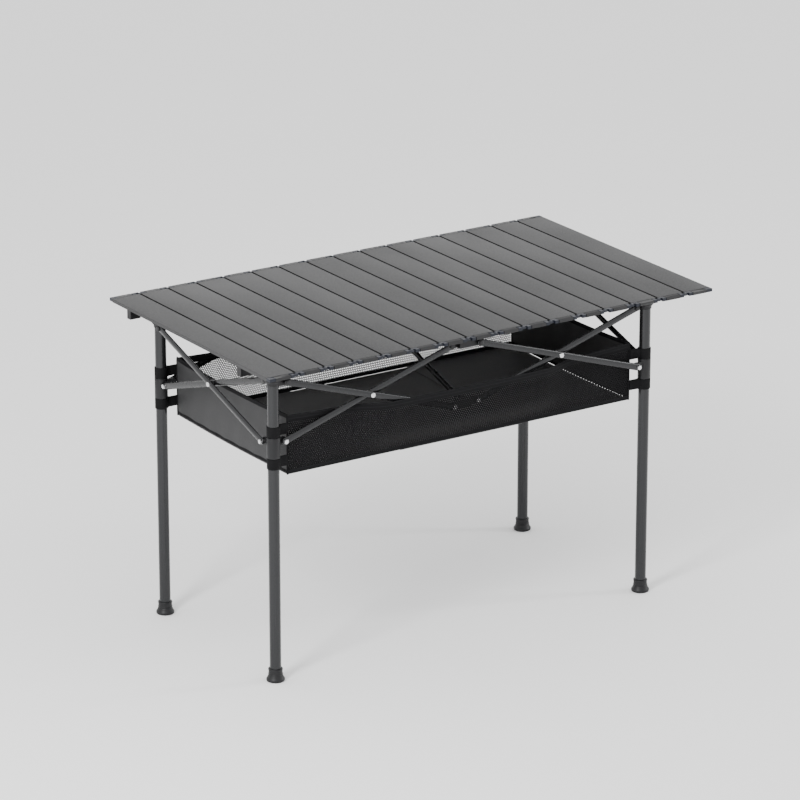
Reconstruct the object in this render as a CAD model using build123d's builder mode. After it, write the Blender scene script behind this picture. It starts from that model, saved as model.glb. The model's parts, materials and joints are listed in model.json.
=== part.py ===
"""Camp kitchen table: a roll-up slatted top on a folding scissor frame with a hung storage basket.

Millimetres, +Z up. The origin is on the floor under the middle of the slatted top. X runs along the
long side and Y along the short side. The legs are named by corner: front is -Y, left is -X.
"""

from build123d import *
import os
from math import sqrt

os.makedirs("parts", exist_ok=True)

# ---- overall sizes
table_height = 717.0
bar_span = 437.0  # level reach of one scissor bar, pivot to pivot, frame open
bar_rise = 139.5  # height between the slider pivots and the top pivots, frame open
leg_inset_x = 25.0  # leg axis to the left edge of the top
leg_inset_y = 25.0  # leg axis to the front edge of the top
overhang_right = 175.0
overhang_back = 190.0

# ---- roll-up top
slat_count = 16
slat_thickness = 8.0
slat_skin = 1.4
joint_gap = 4.5  # clear gap between two slats
hinge_depth = 2.5  # hinge axis below the top surface
end_zone = 14.0  # length of the plastic end fittings
cap_width = 38.0
knuckle_radius = 2.4
knuckle_pin = 1.1

# ---- legs
tube_radius = 13.0
tube_wall = 1.2
foot_height = 30.0
foot_radius = 21.0
foot_floor = 8.0
collar_wall = 2.0
bracket_height = 34.0
flange_radius = 19.0
slider_height = 47.0
slider_below_pivot = 33.5

# ---- scissor bars and their pivots
bar_height = 16.0
bar_thickness = 9.0
bar_inner = 4.0  # the inner bars' middle plane, outwards from the leg axes
bar_outer = 15.0  # the outer bars' middle plane
ear_clear_x = 13.0  # pivot to the collar, long sides
ear_clear_y = 9.0  # pivot to the collar, short sides
hub_reach = 35.0  # pivot to the middle of a centre hub
ear_thickness = 5.0
ear_radius = 8.5
ear_gap = 1.0
rivet_radius = 3.0
head_radius = 5.5
head_height = 1.8
cross_plane = 5.5  # the two middle bars, each side of the hubs' middle

# ---- clearances
running = 0.05  # radial, pins and knuckles
sliding = 0.1  # radial, sliders on the legs
face_gap = 0.3  # flat faces that pass each other

# ---- basket
basket_clear = 1.8  # between the bars' ears and the basket's ends
basket_below_cross = 15.35  # top edge of the long panels below the bars' crossing
basket_end_rise = 8.0  # the end panels stand this much higher
basket_below_pivot = 84.0  # bottom below the slider pivots
cloth = 2.0
mesh_rest = 4.3  # long panels behind the slider bars, inwards from the leg axes
mesh_bulge = 24.2  # long panels in front of the hubs, outwards from the leg axes
strap_width = 24.0
strap_thickness = 2.0
strap_gap = 1.5

# ---- derived
collar_radius = tube_radius + collar_wall
ear_x = collar_radius + ear_clear_x
ear_y = collar_radius + ear_clear_y
basket_inset = ear_x + ear_radius + basket_clear
leg_pitch_x = 2 * (ear_x + bar_span + hub_reach)
leg_pitch_y = bar_span + 2 * ear_y
top_length = leg_inset_x + leg_pitch_x + overhang_right
top_depth = leg_inset_y + leg_pitch_y + overhang_back
pitch = top_length / slat_count
left = -top_length / 2 + leg_inset_x
right = left + leg_pitch_x
front = -top_depth / 2 + leg_inset_y
back = front + leg_pitch_y
middle = (left + right) / 2
under_top = table_height - slat_thickness
top_pivot = under_top - 9.5
low_pivot = top_pivot - bar_rise
bar_length = sqrt(bar_span**2 + bar_rise**2)
hinge_z = table_height - hinge_depth
half_slat = pitch / 2 - joint_gap / 2
slider_bottom = low_pivot - slider_below_pivot
slider_top = slider_bottom + slider_height

# name, leg x, leg y, towards the middle in x and y, and whether the bar on each pivot is the outer
# one: top bracket's long-side and short-side bar, then the slider's
corners = [
    ("fl", left, front, 1, 1, True, False, False, True),
    ("fr", right, front, -1, 1, False, False, True, True),
    ("bl", left, back, 1, -1, True, True, False, False),
    ("br", right, back, -1, -1, False, True, True, False),
]


def ear_plane(outer):
    """Offsets outwards from the leg axis: ear's middle plane, outer face of the bar."""
    bar = bar_outer if outer else bar_inner
    return bar - bar_thickness / 2 - ear_gap - ear_thickness / 2, bar + bar_thickness / 2


# ---- slats
for n in range(slat_count):
    middle_x = -top_length / 2 + (n + 0.5) * pitch
    with BuildPart() as slat:
        # folded aluminium channel, open below, with two ribs and turned-in lips
        with BuildSketch(Plane.XZ):
            with Locations((middle_x, table_height - slat_thickness / 2)):
                Rectangle(2 * half_slat, slat_thickness)
            with Locations((middle_x, table_height - slat_skin - slat_thickness / 2)):
                Rectangle(2 * (half_slat - slat_skin), slat_thickness, mode=Mode.SUBTRACT)
            for side in (-1, 1):
                with Locations((middle_x + side * (half_slat - 4.0), under_top + slat_skin / 2)):
                    Rectangle(8.0, slat_skin)
                with Locations((middle_x + side * half_slat / 3, table_height - slat_thickness / 2)):
                    Rectangle(slat_skin, slat_thickness)
        extrude(amount=top_depth / 2 - end_zone, both=True)
        fillet(slat.edges().filter_by(Axis.Y).group_by(Axis.Z)[-1], radius=1.0)
        # plastic end caps
        for side in (-1, 1):
            end_y = side * (top_depth / 2 - end_zone / 2)
            with Locations((middle_x, end_y, table_height - slat_thickness / 2 - 0.2)):
                Box(cap_width, end_zone, slat_thickness - 0.4)
            # blocks that carry the knuckles, or close the outermost edges
            for hand in (-1, 1):
                edge = (n == 0 and hand < 0) or (n == slat_count - 1 and hand > 0)
                outer_x = half_slat if edge else pitch / 2 - 7.5
                inner_x = cap_width / 2 if edge else cap_width / 2 + 1.5
                with Locations(
                    (middle_x + hand * (outer_x + inner_x) / 2, end_y - side * 0.5, table_height - 3.7)
                ):
                    Box(outer_x - inner_x, end_zone - 1.0, 7.0)
        caps = slat.edges().filter_by(Axis.X).group_by(Axis.Z)[0]
        fillet(caps.group_by(Axis.Y)[0] + caps.group_by(Axis.Y)[-1], radius=2.5)
        # knuckles on the hinge axes, the pin on this slat's right side
        for side in (-1, 1):
            for hand in (-1, 1):
                if (n == 0 and hand < 0) or (n == slat_count - 1 and hand > 0):
                    continue
                axis_x = middle_x + hand * pitch / 2
                arm_y = side * (top_depth / 2 - (4.0 if hand > 0 else 10.0))
                arm_width = 5.0 if hand > 0 else 6.0
                with Locations((axis_x - hand * 4.5, arm_y, hinge_z)):
                    Box(9.0, arm_width, 2 * knuckle_radius)
                with Locations(Location((axis_x, arm_y, hinge_z), (90, 0, 0))):
                    Cylinder(knuckle_radius, arm_width)
                if hand > 0:
                    with Locations(Location((axis_x, arm_y - side * 5.0, hinge_z), (90, 0, 0))):
                        Cylinder(knuckle_pin, 8.0)
                else:
                    with Locations(Location((axis_x, arm_y, hinge_z), (90, 0, 0))):
                        Cylinder(knuckle_pin + running, arm_width + 1.0, mode=Mode.SUBTRACT)
    slat.part.label = f"slat_{n + 1:02d}"
    export_step(slat.part, f"parts/slat_{n + 1:02d}.step")

# ---- hooks under the leftmost slat that drop over the frame
with BuildPart() as hooks:
    for reach in (0.19, 1.295):
        hook_y = front + ear_y + reach * bar_span
        with Locations((-top_length / 2 + 17.0, hook_y, under_top - 11.0)):
            Box(26.0, 16.0, 22.0 - 2 * face_gap)
    fillet(hooks.edges().filter_by(Axis.X), radius=2.0)
hooks.part.label = "top_hooks"
export_step(hooks.part, "parts/top_hooks.step")

# ---- legs, feet, top brackets, sliders and straps
for name, leg_x, leg_y, to_x, to_y, top_long, top_short, low_long, low_short in corners:
    with BuildPart() as tube:
        with BuildSketch(Plane.XY.offset(foot_floor)):
            with Locations((leg_x, leg_y)):
                Circle(tube_radius)
                Circle(tube_radius - tube_wall, mode=Mode.SUBTRACT)
        extrude(amount=under_top - 9.0 - foot_floor)
    tube.part.label = f"leg_tube_{name}"
    export_step(tube.part, f"parts/leg_tube_{name}.step")

    with BuildPart() as foot:
        with BuildSketch(Plane.XZ) as profile:
            with BuildLine():
                Polyline(
                    (0, 0),
                    (foot_radius - 2.0, 0),
                    (foot_radius, 2.5),
                    (foot_radius, 6.0),
                    (tube_radius + 4.0, foot_height * 0.45),
                    (tube_radius + 3.0, foot_height * 0.5),
                    (tube_radius + 3.0, foot_height - 1.0),
                    (tube_radius + 2.2, foot_height),
                    (tube_radius + running, foot_height),
                    (tube_radius + running, foot_floor),
                    (0, foot_floor),
                    close=True,
                )
            make_face()
        revolve(axis=Axis.Z)
    foot_placed = Location((leg_x, leg_y, 0)) * foot.part
    foot_placed.label = f"foot_{name}"
    export_step(foot_placed, f"parts/foot_{name}.step")

    with BuildPart() as bracket:
        with BuildSketch(Plane.XY.offset(under_top - face_gap)):
            with Locations((leg_x, leg_y)):
                Circle(collar_radius)
        extrude(amount=-bracket_height)
        with BuildSketch(Plane.XY.offset(under_top - face_gap)):
            with Locations((leg_x, leg_y)):
                Circle(flange_radius)
        extrude(amount=-6.0, taper=25)
        for along, outer in (("x", top_long), ("y", top_short)):
            ear, bar_face = ear_plane(outer)
            reach = ear_x if along == "x" else ear_y
            to_middle = to_x if along == "x" else to_y
            inwards = to_y if along == "x" else to_x
            ear_origin = (
                (leg_x, leg_y - inwards * ear, top_pivot)
                if along == "x"
                else (leg_x - inwards * ear, leg_y, top_pivot)
            )
            ear_face = Plane(
                ear_origin,
                x_dir=(to_middle, 0, 0) if along == "x" else (0, to_middle, 0),
                z_dir=(0, -inwards, 0) if along == "x" else (-inwards, 0, 0),
            )
            up = 1 if ear_face.y_dir.Z > 0 else -1
            with BuildSketch(ear_face):
                with Locations((reach / 2 + 4.0, up * -2.0)):
                    Rectangle(reach - 8.0, 2 * ear_radius - 4.0)
                with Locations((reach, 0)):
                    Circle(ear_radius)
            extrude(amount=ear_thickness / 2, both=True)
            with BuildSketch(ear_face):
                with Locations((reach, 0)):
                    Circle(rivet_radius)
            extrude(amount=bar_face - ear + face_gap + head_height)
            with BuildSketch(ear_face.offset(bar_face - ear + face_gap)):
                with Locations((reach, 0)):
                    Circle(head_radius)
            extrude(amount=head_height)
        with BuildSketch(Plane.XY.offset(under_top - 9.0)):
            with Locations((leg_x, leg_y)):
                Circle(tube_radius + running)
        extrude(amount=-bracket_height, mode=Mode.SUBTRACT)
    bracket.part.label = f"top_bracket_{name}"
    export_step(bracket.part, f"parts/top_bracket_{name}.step")

    with BuildPart() as slider:
        with BuildSketch(Plane.XY.offset(slider_bottom)):
            with Locations((leg_x, leg_y)):
                Circle(collar_radius)
        extrude(amount=slider_height)
        for along, outer in (("x", low_long), ("y", low_short)):
            ear, bar_face = ear_plane(outer)
            reach = ear_x if along == "x" else ear_y
            to_middle = to_x if along == "x" else to_y
            inwards = to_y if along == "x" else to_x
            ear_origin = (
                (leg_x, leg_y - inwards * ear, low_pivot)
                if along == "x"
                else (leg_x - inwards * ear, leg_y, low_pivot)
            )
            ear_face = Plane(
                ear_origin,
                x_dir=(to_middle, 0, 0) if along == "x" else (0, to_middle, 0),
                z_dir=(0, -inwards, 0) if along == "x" else (-inwards, 0, 0),
            )
            with BuildSketch(ear_face):
                with Locations((reach / 2 + 4.0, 0)):
                    Rectangle(reach - 8.0, 2 * ear_radius)
                with Locations((reach, 0)):
                    Circle(ear_radius)
            extrude(amount=ear_thickness / 2, both=True)
            with BuildSketch(ear_face):
                with Locations((reach, 0)):
                    Circle(rivet_radius)
            extrude(amount=bar_face - ear + face_gap + head_height)
            with BuildSketch(ear_face.offset(bar_face - ear + face_gap)):
                with Locations((reach, 0)):
                    Circle(head_radius)
            extrude(amount=head_height)
        with BuildSketch(Plane.XY.offset(slider_bottom)):
            with Locations((leg_x, leg_y)):
                Circle(tube_radius + sliding)
        extrude(amount=slider_height, mode=Mode.SUBTRACT)
    slider.part.label = f"slider_{name}"
    export_step(slider.part, f"parts/slider_{name}.step")

    with BuildPart() as straps:
        for strap_z in (slider_top + strap_gap, slider_bottom - strap_gap - strap_width):
            with BuildSketch(Plane.XY.offset(strap_z)):
                with Locations((leg_x, leg_y)):
                    Circle(tube_radius + face_gap + strap_thickness)
                with Locations((leg_x + to_x * (basket_inset + 10.0) / 2, leg_y + to_y * 2.8)):
                    Rectangle(basket_inset - 10.0 - 2 * face_gap, 3.0)
                with Locations((leg_x, leg_y)):
                    Circle(tube_radius + face_gap, mode=Mode.SUBTRACT)
            extrude(amount=strap_width)
    straps.part.label = f"straps_{name}"
    export_step(straps.part, f"parts/straps_{name}.step")

# ---- scissor bars: name, the plane's own x axis (1 X, 0 Y), level position of the middle,
# position of the plane, outwards direction, rises towards +, and whether it is the outer bar,
# which carries the middle rivet
left_half = left + ear_x + bar_span / 2
right_half = right - ear_x - bar_span / 2
depth_middle = (front + back) / 2
bars = [
    ("bar_front_left_down", True, left_half, front, -1, False, bar_outer, True),
    ("bar_front_left_up", True, left_half, front, -1, True, bar_inner, False),
    ("bar_front_right_down", True, right_half, front, -1, False, bar_outer, True),
    ("bar_front_right_up", True, right_half, front, -1, True, bar_inner, False),
    ("bar_back_left_down", True, left_half, back, 1, False, bar_outer, True),
    ("bar_back_left_up", True, left_half, back, 1, True, bar_inner, False),
    ("bar_back_right_down", True, right_half, back, 1, False, bar_outer, True),
    ("bar_back_right_up", True, right_half, back, 1, True, bar_inner, False),
    ("bar_left_up", False, depth_middle, left, -1, True, bar_outer, True),
    ("bar_left_down", False, depth_middle, left, -1, False, bar_inner, False),
    ("bar_right_up", False, depth_middle, right, 1, True, bar_outer, True),
    ("bar_right_down", False, depth_middle, right, 1, False, bar_inner, False),
    ("bar_cross_down", False, depth_middle, middle, -1, False, cross_plane, True),
    ("bar_cross_up", False, depth_middle, middle, 1, True, cross_plane, False),
]
middle_z = (top_pivot + low_pivot) / 2
for name, along_x, level, plane_at, outwards, rises, offset, has_rivet in bars:
    at = plane_at + outwards * offset
    climb = bar_rise if rises else -bar_rise
    bar_plane = Plane(
        (level, at, middle_z) if along_x else (at, level, middle_z),
        x_dir=(bar_span, 0, climb) if along_x else (0, bar_span, climb),
        z_dir=(0, outwards, 0) if along_x else (outwards, 0, 0),
    )
    # the other bar of the pair lies this far inwards, middle to middle
    other = 2 * cross_plane if name == "bar_cross_down" else bar_outer - bar_inner
    with BuildPart() as bar:
        with BuildSketch(bar_plane):
            SlotCenterToCenter(bar_length, bar_height)
        extrude(amount=bar_thickness / 2, both=True)
        fillet(bar.edges().group_by(Axis.Y if along_x else Axis.X)[0], radius=2.0)
        fillet(bar.edges().group_by(Axis.Y if along_x else Axis.X)[-1], radius=2.0)
        with BuildSketch(bar_plane):
            with Locations((-bar_length / 2, 0), (bar_length / 2, 0)):
                Circle(rivet_radius + running)
            if not has_rivet:
                Circle(rivet_radius + running)
        extrude(amount=bar_thickness, both=True, mode=Mode.SUBTRACT)
        if has_rivet:
            with BuildSketch(bar_plane):
                Circle(rivet_radius)
            extrude(amount=-(other + bar_thickness / 2 + face_gap + head_height))
            with BuildSketch(bar_plane.offset(-(other + bar_thickness / 2 + face_gap))):
                Circle(head_radius)
            extrude(amount=-head_height)
            with BuildSketch(bar_plane.offset(bar_thickness / 2)):
                Circle(head_radius)
            extrude(amount=head_height)
    bar.part.label = name
    export_step(bar.part, f"parts/{name}.step")

# ---- centre hubs: name, y, inwards direction, height, is the left bar the outer one, and which
# side of the middle the cross bar runs on
hubs = [
    ("hub_top_front", front, 1, top_pivot, False, -1),
    ("hub_low_front", front, 1, low_pivot, True, 1),
    ("hub_top_back", back, -1, top_pivot, False, 1),
    ("hub_low_back", back, -1, low_pivot, True, -1),
]
for name, hub_y, inwards, hub_z, left_outer, cross_side in hubs:
    with BuildPart() as hub:
        with Locations((middle, hub_y + inwards * 1.25, hub_z)):
            Box(32.0, 21.5, 2 * ear_radius)
        for to_middle, outer in ((-1, left_outer), (1, not left_outer)):
            ear, bar_face = ear_plane(outer)
            ear_face = Plane(
                (middle, hub_y - inwards * ear, hub_z),
                x_dir=(to_middle, 0, 0),
                z_dir=(0, -inwards, 0),
            )
            with BuildSketch(ear_face):
                with Locations((hub_reach / 2, 0)):
                    Rectangle(hub_reach, 2 * ear_radius)
                with Locations((hub_reach, 0)):
                    Circle(ear_radius)
            extrude(amount=ear_thickness / 2, both=True)
            with BuildSketch(ear_face):
                with Locations((hub_reach, 0)):
                    Circle(rivet_radius)
            extrude(amount=bar_face - ear + face_gap + head_height)
            with BuildSketch(ear_face.offset(bar_face - ear + face_gap)):
                with Locations((hub_reach, 0)):
                    Circle(head_radius)
            extrude(amount=head_height)
        # ear for the bar that crosses to the other long side
        cross_outer = cross_plane + bar_thickness / 2
        cross_ear = cross_outer + ear_gap + ear_thickness / 2
        cross_face = Plane(
            (middle + cross_side * cross_ear, hub_y, hub_z),
            x_dir=(0, inwards, 0),
            z_dir=(-cross_side, 0, 0),
        )
        with BuildSketch(cross_face):
            with Locations((ear_y / 2 + 3.0, 0)):
                Rectangle(ear_y - 6.0, 2 * ear_radius)
            with Locations((ear_y, 0)):
                Circle(ear_radius)
        extrude(amount=ear_thickness / 2, both=True)
        with BuildSketch(cross_face):
            with Locations((ear_y, 0)):
                Circle(rivet_radius)
        extrude(amount=cross_ear - cross_outer + bar_thickness + face_gap + head_height)
        with BuildSketch(cross_face.offset(cross_ear - cross_outer + bar_thickness + face_gap)):
            with Locations((ear_y, 0)):
                Circle(head_radius)
        extrude(amount=head_height)
    hub.part.label = name
    export_step(hub.part, f"parts/{name}.step")

# ---- basket: two long mesh panels that weave behind the slider bars and in front of the hubs,
# two end panels and a bottom. A panel changes sides where both bars are above its top edge.
half_bar = bar_height / 2 * bar_length / bar_span
basket_top = middle_z - half_bar - basket_below_cross
basket_end_top = basket_top + basket_end_rise
basket_bottom = low_pivot - basket_below_pivot
basket_left = left + basket_inset
basket_right = right - basket_inset
weave_out = (
    ear_x + (basket_top - low_pivot + half_bar) * bar_span / bar_rise,
    ear_x + (top_pivot - half_bar - basket_top) * bar_span / bar_rise,
)
weave = [
    (basket_left, -mesh_rest - cloth / 2),
    (left + weave_out[0], -mesh_rest - cloth / 2),
    (left + weave_out[1], mesh_bulge - cloth / 2),
    (right - weave_out[1], mesh_bulge - cloth / 2),
    (right - weave_out[0], -mesh_rest - cloth / 2),
    (basket_right, -mesh_rest - cloth / 2),
]
for name, panel_y, outwards in (("basket_front", front, -1), ("basket_back", back, 1)):
    with BuildPart() as panel:
        with BuildSketch(Plane.XY.offset(basket_bottom + cloth + face_gap)):
            with BuildLine():
                Polyline([(x, panel_y + outwards * y) for x, y in weave])
            trace(line_width=cloth)
        extrude(amount=basket_top - basket_bottom - cloth - face_gap)
    panel.part.label = name
    export_step(panel.part, f"parts/{name}.step")

for name, panel_x in (("basket_left", basket_left + 1.0), ("basket_right", basket_right - 1.0)):
    with BuildPart() as panel:
        with BuildSketch(Plane.XY.offset(basket_bottom + cloth + face_gap)):
            with Locations((panel_x, depth_middle)):
                Rectangle(cloth, leg_pitch_y - 2 * (mesh_rest + cloth + face_gap))
        extrude(amount=basket_end_top - basket_bottom - cloth - face_gap)
    panel.part.label = name
    export_step(panel.part, f"parts/{name}.step")

with BuildPart() as bottom:
    with BuildSketch(Plane.XY.offset(basket_bottom)):
        with BuildLine():
            outline = [(x, front - y - cloth / 2) for x, y in weave]
            outline += [(x, back + y + cloth / 2) for x, y in reversed(weave)]
            Polyline(outline, close=True)
        make_face()
    extrude(amount=cloth)
bottom.part.label = "basket_bottom"
export_step(bottom.part, "parts/basket_bottom.step")
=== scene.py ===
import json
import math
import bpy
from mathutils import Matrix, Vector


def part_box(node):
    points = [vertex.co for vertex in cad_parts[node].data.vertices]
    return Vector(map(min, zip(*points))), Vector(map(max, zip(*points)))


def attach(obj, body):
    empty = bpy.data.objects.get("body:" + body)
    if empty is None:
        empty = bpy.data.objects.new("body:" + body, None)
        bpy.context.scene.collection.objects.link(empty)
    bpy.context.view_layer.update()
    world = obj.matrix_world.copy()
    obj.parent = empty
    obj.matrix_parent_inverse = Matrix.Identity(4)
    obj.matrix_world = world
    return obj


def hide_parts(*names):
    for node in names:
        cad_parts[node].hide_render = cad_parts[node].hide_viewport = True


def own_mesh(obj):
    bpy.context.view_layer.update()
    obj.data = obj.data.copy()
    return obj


bl_info = {
    "name": "Folding Camp Kitchen Table",
    "version": (1, 0, 0),
    "blender": (4, 5, 0),
    "location": "View3D > Sidebar > Camp Table",
    "description": "Dresses a roll-top camp table's frame with slats, bars, straps and a mesh basket",
    "category": "Add Mesh",
}

import bmesh
import bpy
from mathutils import Matrix, Vector

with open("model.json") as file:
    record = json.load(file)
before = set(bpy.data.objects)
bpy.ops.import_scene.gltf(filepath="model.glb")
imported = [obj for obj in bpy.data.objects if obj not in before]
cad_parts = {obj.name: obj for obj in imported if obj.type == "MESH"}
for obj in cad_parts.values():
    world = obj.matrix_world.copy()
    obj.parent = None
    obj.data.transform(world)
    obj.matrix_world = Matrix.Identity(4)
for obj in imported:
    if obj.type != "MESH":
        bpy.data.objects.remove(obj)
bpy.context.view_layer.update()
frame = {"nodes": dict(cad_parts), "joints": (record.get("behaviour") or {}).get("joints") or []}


# ---- what the frame says: places of the legs, pivots and slats, in metres
def middle_of(node):
    low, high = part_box(node)
    return (low + high) / 2


LEG_AT = {corner: middle_of("leg_tube_" + corner) for corner in ("fl", "fr", "bl", "br")}
LEFT, RIGHT = LEG_AT["fl"].x, LEG_AT["fr"].x
FRONT, BACK = LEG_AT["fl"].y, LEG_AT["bl"].y
MIDDLE_X, MIDDLE_Y = (LEFT + RIGHT) / 2, (FRONT + BACK) / 2
SLAT_COUNT = sum(1 for name in frame["nodes"] if name.startswith("slat_"))
BAR_NAMES = sorted(name for name in frame["nodes"] if name.startswith("bar_"))
TUBE_RADIUS = (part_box("leg_tube_fl")[1].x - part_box("leg_tube_fl")[0].x) / 2
JOINT_AT = {j["name"]: Vector(j["pos_m"]) for j in frame["joints"] if "pos_m" in j}
TOP_PIVOT_Z = JOINT_AT["fold"].z
LOW_PIVOT_Z = JOINT_AT["fl_slider"].z
BAR_SPAN = (JOINT_AT["hub_low_front_turn"] - JOINT_AT["fold"]).x
BAR_ANGLE = math.atan2(TOP_PIVOT_Z - LOW_PIVOT_Z, BAR_SPAN)
BAR_REACH = math.hypot(BAR_SPAN, TOP_PIVOT_Z - LOW_PIVOT_Z)
BASKET_LEFT, BASKET_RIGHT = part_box("basket_left")[0].x + 0.001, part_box("basket_right")[1].x - 0.001
BASKET_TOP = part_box("basket_front")[1].z
BASKET_END_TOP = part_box("basket_left")[1].z
BASKET_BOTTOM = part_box("basket_bottom")[0].z
# how far the long panels lie inside the leg line near the legs, and outside it at the hubs
PANEL_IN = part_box("basket_front")[1].y - 0.001 - FRONT
PANEL_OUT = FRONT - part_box("basket_front")[0].y - 0.001
# sizes of the slats and of their plastic ends
SLAT_WIDTH, SLAT_LIP, END_LENGTH, CAP_HALF = 0.0705, 0.006, 0.014, 0.0191
# how far outside the leg line the three layers of bars run, and half a pressed bar's thickness
OUTER, INNER, CROSS, BAR_HALF_THICK = 0.015, 0.004, 0.0055, 0.0045
OUTER_BARS = (
    "bar_front_left_down", "bar_front_right_down", "bar_back_left_down", "bar_back_right_down",
    "bar_left_up", "bar_right_up",
)
BAR_OFFSET = {name: CROSS if "cross" in name else OUTER if name in OUTER_BARS else INNER for name in BAR_NAMES}
# the bars whose tops meet each leg's bracket, along the long side and the short side
TOP_BARS = {
    "fl": ("bar_front_left_down", "bar_left_down"),
    "fr": ("bar_front_right_up", "bar_right_down"),
    "bl": ("bar_back_left_down", "bar_left_up"),
    "br": ("bar_back_right_up", "bar_right_up"),
}
LUG_THICKNESS, LUG_RADIUS, LUG_REACH, LUG_OUT, LUG_IN = 0.005, 0.0085, 0.018, 0.007, -0.004
LONG_PIVOT, SHORT_PIVOT = 0.028, 0.024
# the basket: its floor's laps and outer lengths, its lower edge, and where its long sides cross the bars
LAP, OUTER_FLOOR, EDGE_LIFT = 0.004, 0.300, 0.0030
WEAVE_START, WEAVE_END = 0.1984, 0.2946
CAMERA_AT, CAMERA_TURN = (-5.4952, -8.3710, 3.9127), (math.pi / 2 - 0.332304, 0.0, -0.578169)


def inward(at):
    """The directions along X and Y, each 1 or -1, from a leg towards the table's middle."""
    return (1 if at.x < MIDDLE_X else -1), (1 if at.y < MIDDLE_Y else -1)


# ---- sizes and colours
def size_setting(name, description, default, low, high):
    """A size that a user may change, in metres."""
    return bpy.props.FloatProperty(
        name=name, description=description, default=default, min=low, max=high, unit="LENGTH",
    )


def colour_setting(name, description, default):
    """A surface colour that a user may change."""
    return bpy.props.FloatVectorProperty(
        name=name, description=description, default=default, size=3, min=0.0, max=1.0, subtype="COLOR",
    )


class SlatSettings(bpy.types.PropertyGroup):
    """Sizes and colours of the slatted top"""

    edge_round: size_setting("Edge rounding", "Radius of the slats' long top edges", 0.0011, 0.0002, 0.002)
    wall: size_setting("Wall", "Thickness of the folded aluminium", 0.0014, 0.0008, 0.002)
    colour: colour_setting("Slat colour", "Dark grey coat of the slats", (0.041, 0.041, 0.042))
    cap_colour: colour_setting("Cap colour", "Plastic caps on the slats' ends", (0.016, 0.016, 0.017))
    link_colour: colour_setting("Link colour", "Plastic links between the slats", (0.009, 0.011, 0.018))


class FrameSettings(bpy.types.PropertyGroup):
    """Sizes and colours of the legs, bars and fittings"""

    bar_height: size_setting("Bar height", "Height of the bars' oval tube", 0.0152, 0.010, 0.018)
    bar_width: size_setting("Bar width", "Thickness of the oval tube", 0.0088, 0.006, 0.009)
    rivet_radius: size_setting("Rivet radius", "Radius of the silver rivet heads", 0.0057, 0.0056, 0.007)
    coat_colour: colour_setting("Coat colour", "Powder coat of the legs and bars", (0.025, 0.0255, 0.027))
    plastic_colour: colour_setting("Plastic colour", "Moulded fittings and feet", (0.0075, 0.0075, 0.0085))
    strap_thickness: size_setting("Strap thickness", "Webbing round the legs", 0.0015, 0.0008, 0.0018)


class BasketSettings(bpy.types.PropertyGroup):
    """Sizes and colours of the hanging basket"""

    hole_pitch: size_setting("Hole pitch", "Distance between the holes of the mesh cloth", 0.0050, 0.003, 0.010)
    hole_share: bpy.props.FloatProperty(
        name="Hole size", description="Width of a hole as a share of the pitch",
        default=0.60, min=0.3, max=0.8, subtype="FACTOR",
    )
    cloth_thickness: size_setting("Cloth thickness", "Thickness of mesh and panels", 0.0009, 0.0004, 0.0015)
    tape_height: size_setting("Tape height", "Height of the tape on the top edges", 0.017, 0.006, 0.020)
    floor_sag: size_setting("Floor sag", "How far the floor hangs down in its middle", 0.0035, 0.0, 0.008)
    panel_colour: colour_setting("Panel colour", "Coated cloth of the ends", (0.031, 0.031, 0.032))
    # painted light: the floor cloth is lighter than the end panels' cloth, to make up for the table top's shade
    # on it
    floor_colour: colour_setting("Floor cloth colour", "Coated cloth of the floor", (0.098, 0.098, 0.100))
    mesh_colour: colour_setting("Mesh colour", "Open mesh of the long sides", (0.0035, 0.0035, 0.004))
    tape_colour: colour_setting("Tape colour", "Binding tape and webbing", (0.0050, 0.0050, 0.0055))


class StageSettings(bpy.types.PropertyGroup):
    """Floor, light and camera"""

    floor_colour: colour_setting("Floor colour", "Pale studio floor", (0.93, 0.93, 0.93))
    sky_strength: bpy.props.FloatProperty(
        name="Sky strength", description="Brightness of the surrounding white light",
        default=1.5, min=0.0, max=5.0,
    )
    lens: bpy.props.FloatProperty(
        name="Lens", description="Focal length on a 36 mm wide sensor, in mm",
        default=206.13, min=20.0, max=400.0,
    )


# ---- bench tools: selecting, seating, finishing
def clear_selection():
    if bpy.context.object is not None and bpy.context.object.mode != "OBJECT":
        bpy.ops.object.mode_set(mode="OBJECT")
    bpy.ops.object.select_all(action="DESELECT")


def take(obj):
    """Makes obj the only selected and active object."""
    clear_selection()
    obj.select_set(True)
    bpy.context.view_layer.objects.active = obj


def placed(name, data):
    """Puts a new object that holds data into the scene."""
    made = bpy.data.objects.new(name, data)
    bpy.context.scene.collection.objects.link(made)
    return made


def from_shape(shape, name):
    """Turns a finished bmesh into an object."""
    mesh = bpy.data.meshes.new(name)
    shape.to_mesh(mesh)
    shape.free()
    return placed(name, mesh)


def joined(pieces, name):
    """Joins pieces into one, under a new name."""
    clear_selection()
    for piece in pieces:
        piece.select_set(True)
    bpy.context.view_layer.objects.active = pieces[0]
    bpy.ops.object.join()
    made = bpy.context.object
    made.name = made.data.name = name
    return made


def seat(obj):
    """Puts the object's place, turn and scale into its mesh."""
    take(obj)
    bpy.ops.object.transform_apply(location=True, rotation=True, scale=True)


def start_edit(obj):
    take(obj)
    bpy.ops.object.mode_set(mode="EDIT")
    bpy.ops.mesh.select_mode(type="FACE")


def end_edit():
    bpy.ops.object.mode_set(mode="OBJECT")


def pick(obj, kind, test):
    """Selects the faces, edges or points that pass a test, in edit mode. Returns how many."""
    bpy.ops.mesh.select_mode(type={"faces": "FACE", "edges": "EDGE", "verts": "VERT"}[kind])
    bpy.ops.mesh.select_all(action="DESELECT")
    shape = bmesh.from_edit_mesh(obj.data)
    count = 0
    for part in getattr(shape, kind):
        if test(part):
            part.select = True
            count += 1
    shape.select_flush_mode()
    bmesh.update_edit_mesh(obj.data)
    return count


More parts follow.
